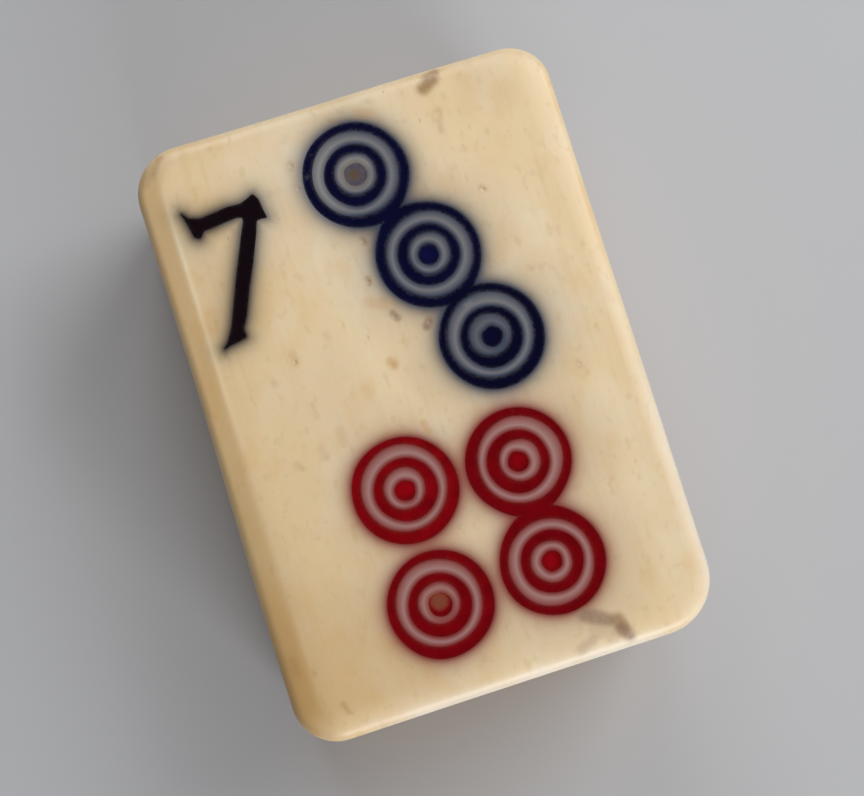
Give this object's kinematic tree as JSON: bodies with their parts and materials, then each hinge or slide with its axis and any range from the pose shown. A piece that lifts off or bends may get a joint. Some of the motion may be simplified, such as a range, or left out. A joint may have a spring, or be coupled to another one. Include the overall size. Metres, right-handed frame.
{
  "type": "mahjong tile",
  "caption": "Mahjong tile from the dots suit: an engraved, paint-filled bone face with a numeral, dovetailed and glued to a round-edged bamboo back.",
  "frame": {"origin": "centre of the bamboo back, on the surface that the tile lies on", "axes": "+Z out of the engraved face, +Y towards the top of the face, +X to the right of a reader of the face"},
  "size_m": [0.0206, 0.029, 0.0127],
  "materials": {
    "bone": "satin",
    "bamboo": "satin",
    "glue": "satin",
    "black_paint": "satin",
    "blue_paint": "satin",
    "red_paint": "satin"
  },
  "bodies": {
    "root": {"bone_face": "bone", "bamboo_back": "bamboo", "glue_film": "glue", "numeral_paint": "black_paint", "blue_outer_rings": "blue_paint", "red_right_outer_rings": "red_paint", "red_upper_left_outer_ring": "red_paint", "red_lower_left_outer_ring": "red_paint", "blue_top_inner_ring": "blue_paint", "blue_middle_inner_ring": "blue_paint", "blue_low_inner_ring": "blue_paint", "red_upper_right_inner_ring": "red_paint", "red_lower_right_inner_ring": "red_paint", "red_upper_left_inner_ring": "red_paint", "red_lower_left_inner_ring": "red_paint", "blue_top_spot": "blue_paint", "blue_middle_spot": "blue_paint", "blue_low_spot": "blue_paint", "red_upper_right_spot": "red_paint", "red_lower_right_spot": "red_paint", "red_upper_left_spot": "red_paint", "red_lower_left_spot": "red_paint"}
  },
  "joints": []
}
